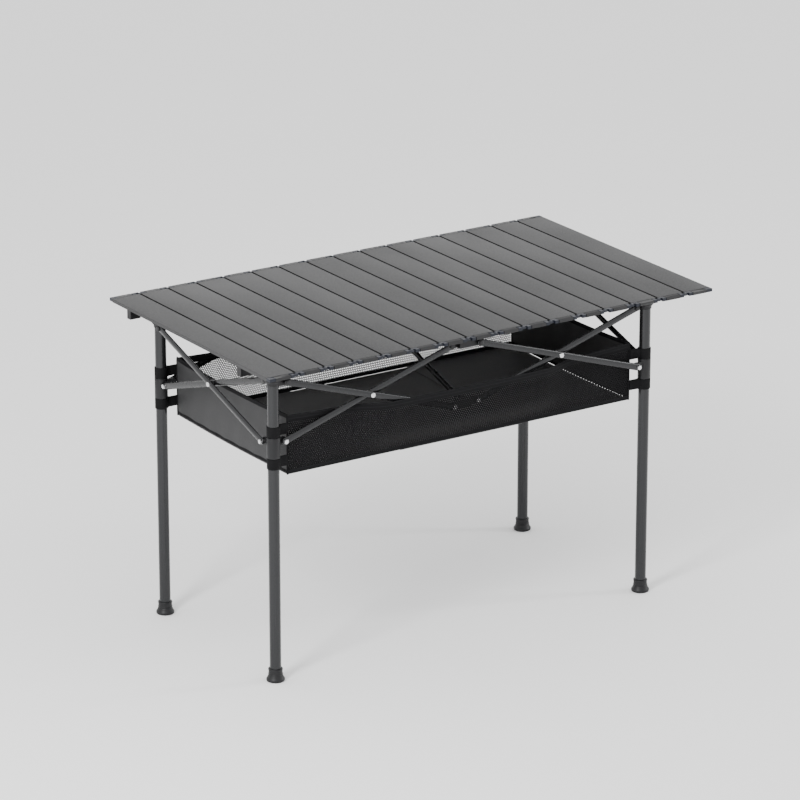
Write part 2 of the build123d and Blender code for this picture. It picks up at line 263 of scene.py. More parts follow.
def extrude(height):
    """Extrudes the selected faces along Z, in edit mode."""
    bpy.ops.mesh.extrude_region_move(TRANSFORM_OT_translate={"value": (0, 0, height)})


def smooth(obj, degrees):
    """Smooths the piece except at edges sharper than the angle."""
    take(obj)
    bpy.ops.object.shade_smooth_by_angle(angle=math.radians(degrees))


def coat(obj, material):
    """Gives a piece this one material."""
    obj.data.materials.clear()
    obj.data.materials.append(material)


def dress(obj, material, body, nodes=()):
    """Gives a piece its material, its body and the CAD nodes it stands for."""
    if material is not None:
        coat(obj, material)
    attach(obj, body)
    if nodes:
        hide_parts(*nodes)
    return obj


def own_copy(obj, name, placing):
    """A copy with its own mesh, moved there by a matrix."""
    mesh = obj.data.copy()
    mesh.transform(placing)
    if placing.determinant() < 0:
        mesh.flip_normals()
    mesh.name = name
    return placed(name, mesh)


def discard(obj):
    mesh = obj.data
    bpy.data.objects.remove(obj)
    bpy.data.meshes.remove(mesh)


def rings_along(axis, places):
    """Cuts the piece in edit mode across at each place along an axis."""
    normal = Vector((0, 0, 0))
    normal[axis] = 1.0
    for place in places:
        bpy.ops.mesh.select_all(action="SELECT")
        bpy.ops.mesh.bisect(plane_co=normal * place, plane_no=normal, threshold=0.000001)


def scale_ring(obj, axis, place, sizes):
    """Scales the ring of points at a place along an axis, about that axis."""
    found = pick(obj, "verts", lambda v: abs(v.co[axis] - place) < 1e-5)
    if not found:
        raise RuntimeError(f"{obj.name} has no ring at {place}")
    middle = Vector((0, 0, 0))
    middle[axis] = place
    bpy.ops.transform.resize(value=sizes, center_override=middle)


START_RADIUS = 0.01


def turned(name, sides, profile, place=(0, 0, 0)):
    """A turned solid about Z: a cylinder whose rings are scaled to the profile's pairs of height and radius."""
    clear_selection()
    low, high = profile[0][0], profile[-1][0]
    bpy.ops.mesh.primitive_cylinder_add(
        vertices=sides, radius=START_RADIUS, depth=high - low, location=(0, 0, (low + high) / 2)
    )
    obj = bpy.context.object
    obj.name = obj.data.name = name
    seat(obj)
    start_edit(obj)
    rings_along(2, [z for z, _ in profile[1:-1]])
    for z, radius in profile:
        scale_ring(obj, 2, z, (radius / START_RADIUS, radius / START_RADIUS, 1))
    end_edit()
    obj.data.transform(Matrix.Translation(place))
    return obj


def swept_band(name, centres, normals, section):
    """A band whose section, in pairs of out and up, follows centres and their outward normals, in mesh code.
    Its UV map is in metres: along the band, and round its section."""
    shape = bmesh.new()
    uv = shape.loops.layers.uv.new("cloth")
    rows, count = [], len(section)
    for centre, normal in zip(centres, normals):
        rows.append([shape.verts.new(centre + normal * out + Vector((0, 0, up))) for out, up in section])
    along = [0.0]
    for first, second in zip(centres, centres[1:]):
        along.append(along[-1] + (second - first).length)
    round_it = [0.0]
    for k in range(count):
        a, b = section[k], section[(k + 1) % count]
        round_it.append(round_it[-1] + math.hypot(b[0] - a[0], b[1] - a[1]))
    for i in range(len(rows) - 1):
        for k in range(count):
            n = (k + 1) % count
            face = shape.faces.new((rows[i][k], rows[i + 1][k], rows[i + 1][n], rows[i][n]))
            for loop, u, v in zip(
                face.loops,
                (along[i], along[i + 1], along[i + 1], along[i]),
                (round_it[k], round_it[k], round_it[k + 1], round_it[k + 1]),
            ):
                loop[uv].uv = (u, v)
    shape.faces.new(rows[0])
    shape.faces.new(list(reversed(rows[-1])))
    bmesh.ops.recalc_face_normals(shape, faces=shape.faces)
    band = from_shape(shape, name)
    smooth(band, 50.0)
    return band


def rounded_section(out, up, corner=0.0005):
    """A rectangle with cut corners, out thick and up high, centred on the band's line."""
    a, b, c = out / 2, up / 2, min(corner, out / 2.5)
    return [
        (-a, -b + c), (-a + c, -b), (a - c, -b), (a, -b + c),
        (a, b - c), (a - c, b), (-a + c, b), (-a, b - c),
    ]


# ---- finishes, all from nodes on object coordinates or the cloth's own UV map
class Finish:
    """A material being put together from nodes."""

    def __init__(self, name, colour, roughness, metallic=0.0):
        self.material = bpy.data.materials.new(name)
        self.material.use_nodes = True
        self.nodes = self.material.node_tree.nodes
        self.links = self.material.node_tree.links
        self.shader = next(n for n in self.nodes if n.type == "BSDF_PRINCIPLED")
        self.colour = (*colour, 1.0)
        self.shader.inputs["Base Color"].default_value = self.colour
        self.shader.inputs["Roughness"].default_value = roughness
        self.shader.inputs["Metallic"].default_value = metallic
        self.bumped = None

    def dull(self, level):
        """Lowers the shine that the surface shows from straight on."""
        self.shader.inputs["Specular IOR Level"].default_value = level

    def coordinates(self, output="Object", scale=(1, 1, 1)):
        source = self.nodes.new("ShaderNodeTexCoord")
        mapping = self.nodes.new("ShaderNodeMapping")
        mapping.inputs["Scale"].default_value = scale
        self.links.new(source.outputs[output], mapping.inputs["Vector"])
        return mapping.outputs["Vector"]

    def noise(self, vector, scale, detail=3.0, roughness=0.5):
        node = self.nodes.new("ShaderNodeTexNoise")
        node.inputs["Scale"].default_value = scale
        node.inputs["Detail"].default_value = detail
        node.inputs["Roughness"].default_value = roughness
        self.links.new(vector, node.inputs["Vector"])
        return node.outputs["Fac"]

    def wave(self, vector, scale, direction, profile="SIN", distortion=0.0):
        node = self.nodes.new("ShaderNodeTexWave")
        node.wave_type = "BANDS"
        node.bands_direction = direction
        node.wave_profile = profile
        node.inputs["Scale"].default_value = scale
        node.inputs["Distortion"].default_value = distortion
        self.links.new(vector, node.inputs["Vector"])
        return node.outputs["Fac"]

    def math(self, operation, first, second):
        node = self.nodes.new("ShaderNodeMath")
        node.operation = operation
        for socket, value in zip(node.inputs, (first, second)):
            if isinstance(value, (int, float)):
                socket.default_value = value
            else:
                self.links.new(value, socket)
        return node.outputs["Value"]

    def spread(self, value, low, high, start=0.3, end=0.7):
        """Maps a pattern's range from start to end onto low to high."""
        node = self.nodes.new("ShaderNodeMapRange")
        node.inputs["From Min"].default_value = start
        node.inputs["From Max"].default_value = end
        node.inputs["To Min"].default_value = low
        node.inputs["To Max"].default_value = high
        self.links.new(value, node.inputs["Value"])
        return node.outputs["Result"]

    def mix(self, factor, first, second):
        node = self.nodes.new("ShaderNodeMix")
        node.data_type = "RGBA"
        for socket, value in ((node.inputs[6], first), (node.inputs[7], second)):
            if isinstance(value, tuple):
                socket.default_value = (*value[:3], 1.0)
            else:
                self.links.new(value, socket)
        self.links.new(factor, node.inputs[0])
        return node.outputs[2]

    def tint(self, value, dark=0.85, light=1.12, start=0.3, end=0.7):
        """Varies the base colour with a pattern, from dark to light times the colour."""
        factor = self.spread(value, 0.0, 1.0, start, end)
        first = tuple(c * dark for c in self.colour[:3])
        second = tuple(min(1.0, c * light) for c in self.colour[:3])
        self.paint(self.mix(factor, first, second))

    def paint(self, colour):
        self.links.new(colour, self.shader.inputs["Base Color"])

    def rough(self, value):
        self.links.new(value, self.shader.inputs["Roughness"])

    def bump(self, height, strength, distance):
        node = self.nodes.new("ShaderNodeBump")
        node.inputs["Strength"].default_value = strength
        node.inputs["Distance"].default_value = distance
        self.links.new(height, node.inputs["Height"])
        if self.bumped is not None:
            self.links.new(self.bumped, node.inputs["Normal"])
        self.bumped = node.outputs["Normal"]
        self.links.new(self.bumped, self.shader.inputs["Normal"])

    def painted(self):
        """The socket that now gives the base colour."""
        return self.shader.inputs["Base Color"].links[0].from_socket


def slat_finish(colour):
    """Dark coated aluminium with a fine grain along the slat, and painted shade on the faces that the 'shade'
    attribute marks.
    """
    made = Finish("slat_aluminium", colour, 0.46, 0.35)
    fine = made.noise(made.coordinates(scale=(520, 110, 520)), 1.0, 4.0, 0.65)
    speckle = made.noise(made.coordinates(), 430.0, 3.0, 0.7)
    cloud = made.noise(made.coordinates(scale=(5, 2.2, 5)), 1.0, 3.0, 0.5)
    both = made.math("ADD", made.math("MULTIPLY", fine, 0.45), made.math("MULTIPLY", speckle, 0.55))
    made.tint(both, 0.50, 1.60, 0.36, 0.64)
    # painted shade: faces marked by the 'shade' attribute, the sides between slats, are mixed towards a much
    # darker colour
    shade = made.nodes.new("ShaderNodeAttribute")
    shade.attribute_name = "shade"
    made.paint(made.mix(shade.outputs["Fac"], made.painted(), tuple(c * 0.12 for c in colour)))
    wear = made.math("ADD", cloud, made.math("MULTIPLY", both, 0.4))
    made.rough(made.spread(wear, 0.42, 0.56, 0.4, 0.9))
    made.bump(both, 0.25, 0.0002)
    made.dull(0.4)
    return made.material


def coat_finish(name, colour, stretch):
    """Semi-gloss powder coat on aluminium tube, with a fine orange peel and faint streaks."""
    made = Finish(name, colour, 0.26, 0.75)
    peel = made.noise(made.coordinates(), 900.0, 2.0, 0.5)
    drawn = made.noise(made.coordinates(scale=stretch), 1.0, 2.0, 0.5)
    both = made.math("ADD", made.math("MULTIPLY", peel, 0.7), made.math("MULTIPLY", drawn, 0.3))
    made.tint(both, 0.92, 1.08)
    made.rough(made.spread(drawn, 0.22, 0.30))
    made.bump(peel, 0.10, 0.00012)
    made.shader.inputs["Coat Weight"].default_value = 0.25
    made.shader.inputs["Coat Roughness"].default_value = 0.18
    return made.material


def plastic_finish(name, colour, roughness=0.42):
    """Moulded plastic with a fine spark-eroded texture and duller scuffs."""
    made = Finish(name, colour, roughness)
    grain = made.noise(made.coordinates(), 1100.0, 2.0, 0.5)
    scuff = made.noise(made.coordinates(), 38.0, 5.0, 0.6)
    made.tint(scuff, 0.82, 1.25)
    made.rough(made.spread(scuff, roughness - 0.06, roughness + 0.12))
    made.bump(grain, 0.20, 0.00018)
    made.dull(0.30)
    return made.material


def end_fitting_finish(cap_colour, link_colour):
    """Plastic of the slats' ends: the attribute 'link' tells the bluish links from the caps."""
    made = Finish("slat_end_plastic", cap_colour, 0.40)
    which = made.nodes.new("ShaderNodeAttribute")
    which.attribute_name = "link"
    scuff = made.noise(made.coordinates(), 60.0, 4.0, 0.6)
    made.tint(scuff, 0.85, 1.2)
    made.paint(made.mix(which.outputs["Fac"], made.painted(), tuple(link_colour)))
    made.rough(made.spread(scuff, 0.34, 0.50))
    made.bump(made.noise(made.coordinates(), 1000.0, 2.0, 0.5), 0.18, 0.00015)
    made.dull(0.30)
    return made.material


def rivet_finish():
    """Bright zinc-plated steel with fine turning scratches."""
    made = Finish("rivet_steel", (0.82, 0.82, 0.83), 0.22, 1.0)
    scratch = made.noise(made.coordinates(), 700.0, 3.0, 0.6)
    made.tint(scratch, 0.85, 1.0)
    made.rough(made.spread(scratch, 0.16, 0.34))
    made.bump(scratch, 0.06, 0.0001)
    return made.material


def cloth_finish(name, colour, thread=0.0011, sheen=0.05, roughness=0.62):
    """Coated plain-weave cloth: warp and weft on the cloth's own UV map, in metres."""
    made = Finish(name, colour, roughness)
    flat = made.coordinates("UV")
    scale = math.tau / thread / 20.0
    warp = made.wave(flat, scale, "X", distortion=0.6)
    weft = made.wave(flat, scale, "Y", distortion=0.6)
    weave = made.math("MULTIPLY", warp, weft)
    fold = made.noise(made.coordinates("UV", (9, 26, 1)), 1.0, 3.0, 0.5)
    both = made.math("ADD", made.math("MULTIPLY", weave, 0.35), made.math("MULTIPLY", fold, 0.65))
    made.tint(both, 0.82, 1.18, 0.2, 0.65)
    made.rough(made.spread(fold, roughness - 0.06, roughness + 0.08))
    made.bump(weave, 0.35, 0.00022)
    made.bump(fold, 0.18, 0.0016)
    made.dull(0.25)
    made.shader.inputs["Sheen Weight"].default_value = sheen
    made.shader.inputs["Sheen Roughness"].default_value = 0.4
    return made.material


def mesh_finish(colour):
    """Knitted polyester of the open mesh."""
    made = Finish("mesh_polyester", colour, 0.55)
    yarn = made.noise(made.coordinates(), 1500.0, 2.0, 0.6)
    made.tint(yarn, 0.7, 1.5)
    made.rough(made.spread(yarn, 0.48, 0.66))
    made.bump(yarn, 0.3, 0.0002)
    made.dull(0.10)
    return made.material


def tape_finish(name, colour, rib=0.0012, stitches=True):
    """Woven tape with ribs across it and a row of lock stitches near each edge."""
    made = Finish(name, colour, 0.68)
    flat = made.coordinates("UV")
    split = made.nodes.new("ShaderNodeSeparateXYZ")
    made.links.new(flat, split.inputs["Vector"])
    ribs = made.wave(flat, math.tau / rib / 20.0, "X", distortion=0.3)
    yarn = made.noise(made.coordinates("UV", (900, 2200, 1)), 1.0, 2.0, 0.6)
    both = made.math("ADD", made.math("MULTIPLY", ribs, 0.5), made.math("MULTIPLY", yarn, 0.5))
    made.tint(both, 0.75, 1.6)
    made.rough(made.spread(yarn, 0.60, 0.78))
    made.bump(ribs, 0.5, 0.0003)
    if stitches:
        stitch_step, row_gap = 0.0034, 0.0075
        along = made.math("DIVIDE", split.outputs["X"], stitch_step)
        along = made.math("SUBTRACT", made.math("FRACT", along, 0.0), 0.5)
        across = made.math("DIVIDE", split.outputs["Y"], row_gap)
        across = made.math("SUBTRACT", made.math("FRACT", across, 0.0), 0.5)
        near = made.math("LESS_THAN", made.math("ABSOLUTE", across, 0.0), 0.055)
        dash = made.math("LESS_THAN", made.math("ABSOLUTE", along, 0.0), 0.32)
        stitch = made.math("MULTIPLY", near, dash)
        made.paint(made.mix(stitch, made.painted(), tuple(min(1, c * 4.5) for c in colour)))
        made.bump(stitch, 0.5, 0.0004)
    made.dull(0.08)
    return made.material


# ---- the slatted top
def slat_master(wall, edge_round, size):
    """One folded channel, its top face up, centred on X and Y with its top at Z 0."""
    width, length, height = size
    clear_selection()
    bpy.ops.mesh.primitive_cube_add(size=1.0, location=(0, 0, -height / 2), scale=(width, length, height))
    slat = bpy.context.object
    slat.name = slat.data.name = "slat_master"
    seat(slat)
    start_edit(slat)
    # the open underside: turned-in lips, then the hollow
    end_wall = 0.0003
    pick(slat, "faces", lambda f: f.normal.z < -0.9)
    bpy.ops.mesh.inset(thickness=SLAT_LIP, depth=0.0)
    pick(slat, "faces", lambda f: f.normal.z < -0.9 and max(abs(v.co.x) for v in f.verts) < width / 2 - 0.004)
    extrude(wall)
    widen = (width - 2 * wall) / (width - 2 * SLAT_LIP)
    lengthen = (length - 2 * end_wall) / (length - 2 * SLAT_LIP)
    bpy.ops.transform.resize(value=(widen, lengthen, 1), center_override=(0, 0, -height + wall))
    extrude(height - 2 * wall)
    # two stiffening ribs hang from the inside of the top
    rib_drop = height - 3.2 * wall
    for side in (-1, 1):
        for shift in (-0.5, 0.5):
            pick(slat, "faces", lambda f: f.normal.z < -0.9 and f.calc_center_median().z > -wall - 0.0005)
            bpy.ops.mesh.bisect(plane_co=(side * width / 6 + shift * wall, 0, 0), plane_no=(1, 0, 0))
    pick(
        slat, "faces",
        lambda f: f.normal.z < -0.9 and f.calc_center_median().z > -wall - 0.0005
        and abs(abs(f.calc_center_median().x) - width / 6) < wall / 2,
    )
    extrude(-rib_drop)
    # rounded long edges
    pick(
        slat, "edges",
        lambda e: all(abs(v.co.z) < 1e-6 and abs(abs(v.co.x) - width / 2) < 1e-6 for v in e.verts),
    )
    bpy.ops.mesh.bevel(offset=edge_round, segments=4, profile=0.5, affect="EDGES")
    end_edit()
    smooth(slat, 40.0)
    return slat


def end_fitting(node, name, inner_y):
    """The plastic ends of one slat: the ends of the CAD slat, merged and cut off from its channel."""
    ends = placed(name, node.data.copy())
    start_edit(ends)
    bpy.ops.mesh.select_all(action="SELECT")
    bpy.ops.mesh.remove_doubles(threshold=0.00001)
    for side in (-1, 1):
        bpy.ops.mesh.select_all(action="SELECT")
        bpy.ops.mesh.bisect(plane_co=(0, side * inner_y, 0), plane_no=(0, 1, 0))
    pick(ends, "faces", lambda f: abs(f.calc_center_median().y) < inner_y - 1e-6)
    bpy.ops.mesh.delete(type="FACE")
    bpy.ops.mesh.select_mode(type="EDGE")
    bpy.ops.mesh.select_all(action="DESELECT")
    bpy.ops.mesh.select_non_manifold(
        extend=False, use_wire=False, use_multi_face=False, use_non_contiguous=False, use_verts=False,
    )
    bpy.ops.mesh.edge_face_add()
    bpy.ops.mesh.select_all(action="SELECT")
    bpy.ops.mesh.dissolve_limited(angle_limit=math.radians(1.0))
    end_edit()
    return ends


class CAMPTABLE_OT_slats(bpy.types.Operator):
    """Makes the aluminium slats, one modelled and the others copied"""

    bl_idname = "camp_table.slats"
    bl_label = "Slats"

    def execute(self, context):
        settings = context.scene.camp_table_slats
        finish = slat_finish(settings.colour)
        low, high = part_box("slat_02")
        length = (high.y - low.y) - 2 * END_LENGTH
        master = slat_master(settings.wall, settings.edge_round, (SLAT_WIDTH, length, high.z - low.z))
        for k in range(1, SLAT_COUNT + 1):
            name = "slat_%02d" % k
            place = Matrix.Translation((slat_centre(k), (low.y + high.y) / 2, high.z))
            channel = own_copy(master, "channel_%02d" % k, place)
            # painted shade: the sides that face another slat are darkened for the shade in the gaps between
            # slats; the table's own two ends are not
            outer = {1: -1, SLAT_COUNT: 1}.get(k, 0)
            shade = channel.data.attributes.new("shade", "FLOAT", "FACE")
            painted_gap_shade = [float(abs(p.normal.x) > 0.35 and p.normal.x * outer <= 0) for p in channel.data.polygons]
            shade.data.foreach_set("value", painted_gap_shade)
            dress(channel, finish, name, [name])
        discard(master)
        return {"FINISHED"}


def slat_centre(k):
    """The middle of slat k: the hinge of each pair lies half a pitch from both."""
    first, second = JOINT_AT["roll"].x, JOINT_AT["roll_03"].x
    pitch = second - first
    return first + (k - 1.5) * pitch


class CAMPTABLE_OT_end_fittings(bpy.types.Operator):
    """Makes the plastic caps and hinge links at the ends of the slats"""

    bl_idname = "camp_table.end_fittings"
    bl_label = "End fittings"

    def execute(self, context):
        settings = context.scene.camp_table_slats
        finish = end_fitting_finish(settings.cap_colour, settings.link_colour)
        inner_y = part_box("slat_02")[1].y - END_LENGTH
        for k in range(1, SLAT_COUNT + 1):
            name = "slat_%02d" % k
            ends = end_fitting(frame["nodes"][name], "end_fitting_%02d" % k, inner_y)
            centre = slat_centre(k)
            link = ends.data.attributes.new("link", "FLOAT", "FACE")
            away = [0.0 if abs(p.center.x - centre) < CAP_HALF else 1.0 for p in ends.data.polygons]
            link.data.foreach_set("value", away)
            smooth(ends, 30.0)
            dress(ends, finish, name)
        return {"FINISHED"}


# ---- legs, feet and moulded fittings
class CAMPTABLE_OT_legs(bpy.types.Operator):
    """Gives the leg tubes their powder coat"""

    bl_idname = "camp_table.legs"
    bl_label = "Leg tubes"

    def execute(self, context):
        finish = coat_finish("leg_coat", context.scene.camp_table_frame.coat_colour, (500, 500, 12))
        for corner in LEG_AT:
            coat(frame["nodes"]["leg_tube_" + corner], finish)
        return {"FINISHED"}


class CAMPTABLE_OT_feet(bpy.types.Operator):
    """Turns one foot, with its flange, groove and socket, and copies it to the four legs"""

    bl_idname = "camp_table.feet"
    bl_label = "Feet"

    def execute(self, context):
        finish = plastic_finish("foot_plastic", context.scene.camp_table_frame.plastic_colour)
        profile = [
            (0.0, 0.0188), (0.0008, 0.0202), (0.0024, 0.0209), (0.0056, 0.0209), (0.0068, 0.0203),
            (0.0084, 0.0192), (0.0105, 0.0180), (0.0130, 0.0171), (0.0146, 0.0166), (0.0152, 0.0160),
            (0.0162, 0.0160), (0.0168, 0.0166), (0.0178, 0.0167), (0.0186, 0.0160), (0.0262, 0.0158),
            (0.0268, 0.0165), (0.0288, 0.0165), (0.0297, 0.0160), (0.0300, 0.0153),
        ]
        master = turned("foot_master", 56, profile)
        start_edit(master)
        # the socket that the tube stands in, and a hollow under the sole
        pick(master, "faces", lambda f: f.normal.z > 0.9 and f.calc_center_median().z > 0.0299)
        bpy.ops.mesh.inset(thickness=0.0153 - TUBE_RADIUS - 0.0001)
        extrude(-0.0215)
        pick(master, "faces", lambda f: f.normal.z < -0.9 and f.calc_center_median().z < 0.0001)
        bpy.ops.mesh.inset(thickness=0.0035)
        extrude(0.0018)
        bpy.ops.mesh.inset(thickness=0.0040)
        extrude(-0.0018)
        end_edit()
        smooth(master, 38.0)
        for corner, at in LEG_AT.items():
            foot = own_copy(master, "turned_foot_" + corner, Matrix.Translation((at.x, at.y, 0)))
            dress(foot, finish, "leg_" + corner, ["foot_" + corner])
        discard(master)
        return {"FINISHED"}


class CAMPTABLE_OT_brackets(bpy.types.Operator):
    """Makes the flared caps on the legs' tops, each with two lugs for the bars"""

    bl_idname = "camp_table.brackets"
    bl_label = "Top brackets"

    def execute(self, context):
        finish = plastic_finish("bracket_plastic", context.scene.camp_table_frame.plastic_colour)
        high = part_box("top_bracket_fl")[1].z
        flare = turned(
            "flare_master", 48,
            [(high - 0.0150, 0.0138), (high - 0.0144, 0.0144), (high - 0.0105, 0.0147), (high - 0.0085, 0.0152),
             (high - 0.0066, 0.0164), (high - 0.0052, 0.0179), (high - 0.0040, 0.0187), (high - 0.0012, 0.0190),
             (high - 0.0004, 0.0187), (high, 0.0180)],
        )
        lug = lug_master(LUG_THICKNESS, LUG_RADIUS, LUG_REACH)
        quarter = Matrix.Rotation(math.pi / 2, 4, "Z")
        half = Matrix.Rotation(math.pi, 4, "Z")
        for corner, at in LEG_AT.items():
            to_x, to_y = inward(at)
            long_out, short_out = (LUG_OUT if BAR_OFFSET[bar] == OUTER else LUG_IN for bar in TOP_BARS[corner])
            along_x = Matrix.Translation((at.x + to_x * LONG_PIVOT, at.y - to_y * long_out, TOP_PIVOT_Z))
            along_y = Matrix.Translation((at.x - to_x * short_out, at.y + to_y * SHORT_PIVOT, TOP_PIVOT_Z))
            pieces = [
                own_copy(flare, "cap_" + corner, Matrix.Translation((at.x, at.y, 0))),
                own_copy(lug, "lug_a", along_x @ (Matrix.Identity(4) if to_x > 0 else half)),
                own_copy(lug, "lug_b", along_y @ (quarter if to_y > 0 else half @ quarter)),
            ]
            bracket = joined(pieces, "leg_cap_" + corner)
            smooth(bracket, 38.0)
            dress(bracket, finish, "leg_" + corner, ["top_bracket_" + corner])
        discard(flare)
        discard(lug)
        return {"FINISHED"}


def lug_master(thickness, radius, reach):
    """A flat lug along X: round at the origin, drawn out towards the leg on its other side."""
    clear_selection()
    bpy.ops.mesh.primitive_cylinder_add(
        vertices=32, radius=radius, depth=thickness, rotation=(math.pi / 2, 0, 0)
    )
    lug = bpy.context.object
    lug.name = lug.data.name = "lug_master"
    seat(lug)
    start_edit(lug)
    pick(lug, "verts", lambda v: v.co.x < -1e-4)
    bpy.ops.transform.translate(value=(-reach, 0, 0))

    def on_rim(edge):
        first, second = (v.co.y for v in edge.verts)
        return abs(abs(first) - thickness / 2) < 1e-6 and abs(first - second) < 1e-6

    pick(lug, "edges", on_rim)
    bpy.ops.mesh.bevel(offset=0.0006, segments=2, affect="EDGES")
    end_edit()
    smooth(lug, 38.0)
    return lug


def soften_edges(node, width=0.0006):
    """Live weld and bevel on a CAD node: its mesh stays as it is."""
    weld = node.modifiers.new("join", "WELD")
    weld.merge_threshold = 0.00001
    bevel = node.modifiers.new("soft edges", "BEVEL")
    bevel.width = width
    bevel.segments = 2
    bevel.limit_method = "ANGLE"
    bevel.angle_limit = math.radians(40)
    bevel.use_clamp_overlap = True
    bevel.harden_normals = False


class CAMPTABLE_OT_fittings(bpy.types.Operator):
    """Finishes the moulded sliders, hubs and hooks"""

    bl_idname = "camp_table.fittings"
    bl_label = "Moulded fittings"

    def execute(self, context):
        finish = plastic_finish("moulded_plastic", context.scene.camp_table_frame.plastic_colour)
        for name, node in frame["nodes"].items():
            if name.startswith(("slider_", "hub_")) or name == "top_hooks":
                coat(node, finish)
                soften_edges(node)
        return {"FINISHED"}


# ---- the scissor bars and their rivets
def bar_master(height, width):
    """One oval tube along X with pressed, rounded ends."""
    tip = 0.0080
    half = BAR_REACH / 2 + tip
    clear_selection()
    bpy.ops.mesh.primitive_cylinder_add(
        vertices=28, radius=START_RADIUS, depth=2 * half, rotation=(0, math.pi / 2, 0)
    )
    bar = bpy.context.object
    bar.name = bar.data.name = "bar_master"
    seat(bar)
    pressed, round_end = 0.0066, 0.0081
    # distance from the tip, half height, half width
    ends = [
        (0.0, 0.0016, 0.0022), (0.0006, 0.0031, 0.0030), (0.0016, 0.0048, pressed / 2),
        (0.0032, 0.0065, pressed / 2), (0.0052, 0.0077, pressed / 2), (0.0080, round_end, pressed / 2),
        (0.0160, round_end, pressed / 2), (0.0250, 0.0080, pressed / 2 + 0.0003),
        (0.0340, height / 2 + 0.0002, width / 2 - 0.0003), (0.0440, height / 2, width / 2),
    ]
    start_edit(bar)
    places = [(-half + s, h, w) for s, h, w in ends] + [(half - s, h, w) for s, h, w in ends]
    rings_along(0, sorted(x for x, _, _ in places if abs(x) < half - 1e-6))
    for x, h, w in places:
        scale_ring(bar, 0, x, (1, w / START_RADIUS, h / START_RADIUS))
    end_edit()
    smooth(bar, 50.0)
    return bar


def bar_placing(name):
    """The matrix from the bar's own axes to its place, and the direction out of the frame.
    The bar's plane comes from its layer, because its box also holds the crossing rivet."""
    rises = name.endswith("_up")
    height = (TOP_PIVOT_Z + LOW_PIVOT_Z) / 2
    if name.startswith(("bar_front", "bar_back")):
        front = name.startswith("bar_front")
        outward = Vector((0, -1 if front else 1, 0))
        plane = (FRONT if front else BACK) + outward.y * BAR_OFFSET[name]
        centre = Vector((middle_of(name).x, plane, height))
        turn = Matrix.Rotation(-BAR_ANGLE if rises else BAR_ANGLE, 4, "Y")
        return Matrix.Translation(centre) @ turn, outward
    if name.startswith("bar_cross"):
        line, away = MIDDLE_X, 1 if rises else -1
    else:
        line, away = (LEFT, -1) if name.startswith("bar_left") else (RIGHT, 1)
    outward = Vector((away, 0, 0))
    centre = Vector((line + away * BAR_OFFSET[name], MIDDLE_Y, height))
    turn = Matrix.Rotation(BAR_ANGLE if rises else -BAR_ANGLE, 4, "X") @ Matrix.Rotation(math.pi / 2, 4, "Z")
    return Matrix.Translation(centre) @ turn, outward


class CAMPTABLE_OT_bars(bpy.types.Operator):
    """Makes the oval scissor bars with pressed ends, one modelled and fourteen placed"""

    bl_idname = "camp_table.bars"
    bl_label = "Scissor bars"

    def execute(self, context):
        settings = context.scene.camp_table_frame
        finish = coat_finish("bar_coat", settings.coat_colour, (60, 60, 60))
        master = bar_master(settings.bar_height, settings.bar_width)
        for name in BAR_NAMES:
            placing, _ = bar_placing(name)
            tube = own_copy(master, "tube_" + name[4:], placing)
            dress(tube, finish, name, [name])
        discard(master)
        return {"FINISHED"}


class CAMPTABLE_OT_rivets(bpy.types.Operator):
    """Turns one domed rivet head and sets one at every pivot and crossing"""

    bl_idname = "camp_table.rivets"
    bl_label = "Rivets"

    def execute(self, context):
        radius = context.scene.camp_table_frame.rivet_radius
        finish = rivet_finish()
        washer = plastic_finish("washer_nylon", (0.015, 0.015, 0.016))
        dome = turned(
            "rivet_master", 24,
            [(0.0, radius), (0.0022, radius), (0.0029, radius * 0.965), (0.0034, radius * 0.88),
             (0.0038, radius * 0.70), (0.0040, radius * 0.45), (0.0041, radius * 0.18)],
        )
        smooth(dome, 45.0)
        dark_dome = own_copy(dome, "dark_rivet_master", Matrix.Identity(4))
        ring = turned(
            "washer_master", 24, [(0.0, 0.0072), (0.0003, 0.0076), (0.0009, 0.0076), (0.0012, 0.0072)]
        )
        smooth(ring, 30.0)
        shank = turned(
            "shank_master", 16, [(0.0, 0.0031), (0.0008, 0.0032), (0.0100, 0.0032), (0.0106, 0.0031)]
        )
        smooth(shank, 40.0)
        # how deep the heads sink into a pressed end and into the tube, and half a washer and half a shank
        end_sink, tube_sink, half_ring, half_shank, behind = 0.0013, 0.0006, 0.0006, 0.0053, 0.0015
        for name in BAR_NAMES:
            placing, outward = bar_placing(name)
            heads_to = -outward if "cross" in name else outward
            centre = placing.translation
            parts = []
            for end in (-1, 1):
                at = placing @ Vector((end * BAR_REACH / 2, 0, 0))
                head = dome if at.z < (TOP_PIVOT_Z + LOW_PIVOT_Z) / 2 else dark_dome
                parts.append((head, at + heads_to * (BAR_HALF_THICK - end_sink), heads_to))
                parts.append((shank, at - heads_to * (BAR_HALF_THICK + behind), heads_to))
            if name in OUTER_BARS or name == "bar_cross_down":
                gap = 2 * CROSS if "cross" in name else OUTER - INNER
                parts.append((dome, centre + outward * (BAR_HALF_THICK - tube_sink), outward))
                parts.append((dome, centre - outward * (gap + BAR_HALF_THICK - tube_sink), -outward))
                parts.append((ring, centre - outward * (gap / 2 + half_ring), outward))
                parts.append((shank, centre - outward * (gap / 2 + half_shank), outward))
            pieces = []
            for number, (kind, at, towards) in enumerate(parts):
                place = Matrix.Translation(at) @ towards.to_track_quat("Z", "Y").to_matrix().to_4x4()
                pieces.append(own_copy(kind, "rivet_%s_%d" % (name[4:], number), place))
                pieces[-1].data.materials.append(washer if kind in (ring, dark_dome) else finish)
            dress(joined(pieces, "rivets_" + name[4:]), None, name)
        for master in (dome, dark_dome, ring, shank):
            discard(master)
        return {"FINISHED"}


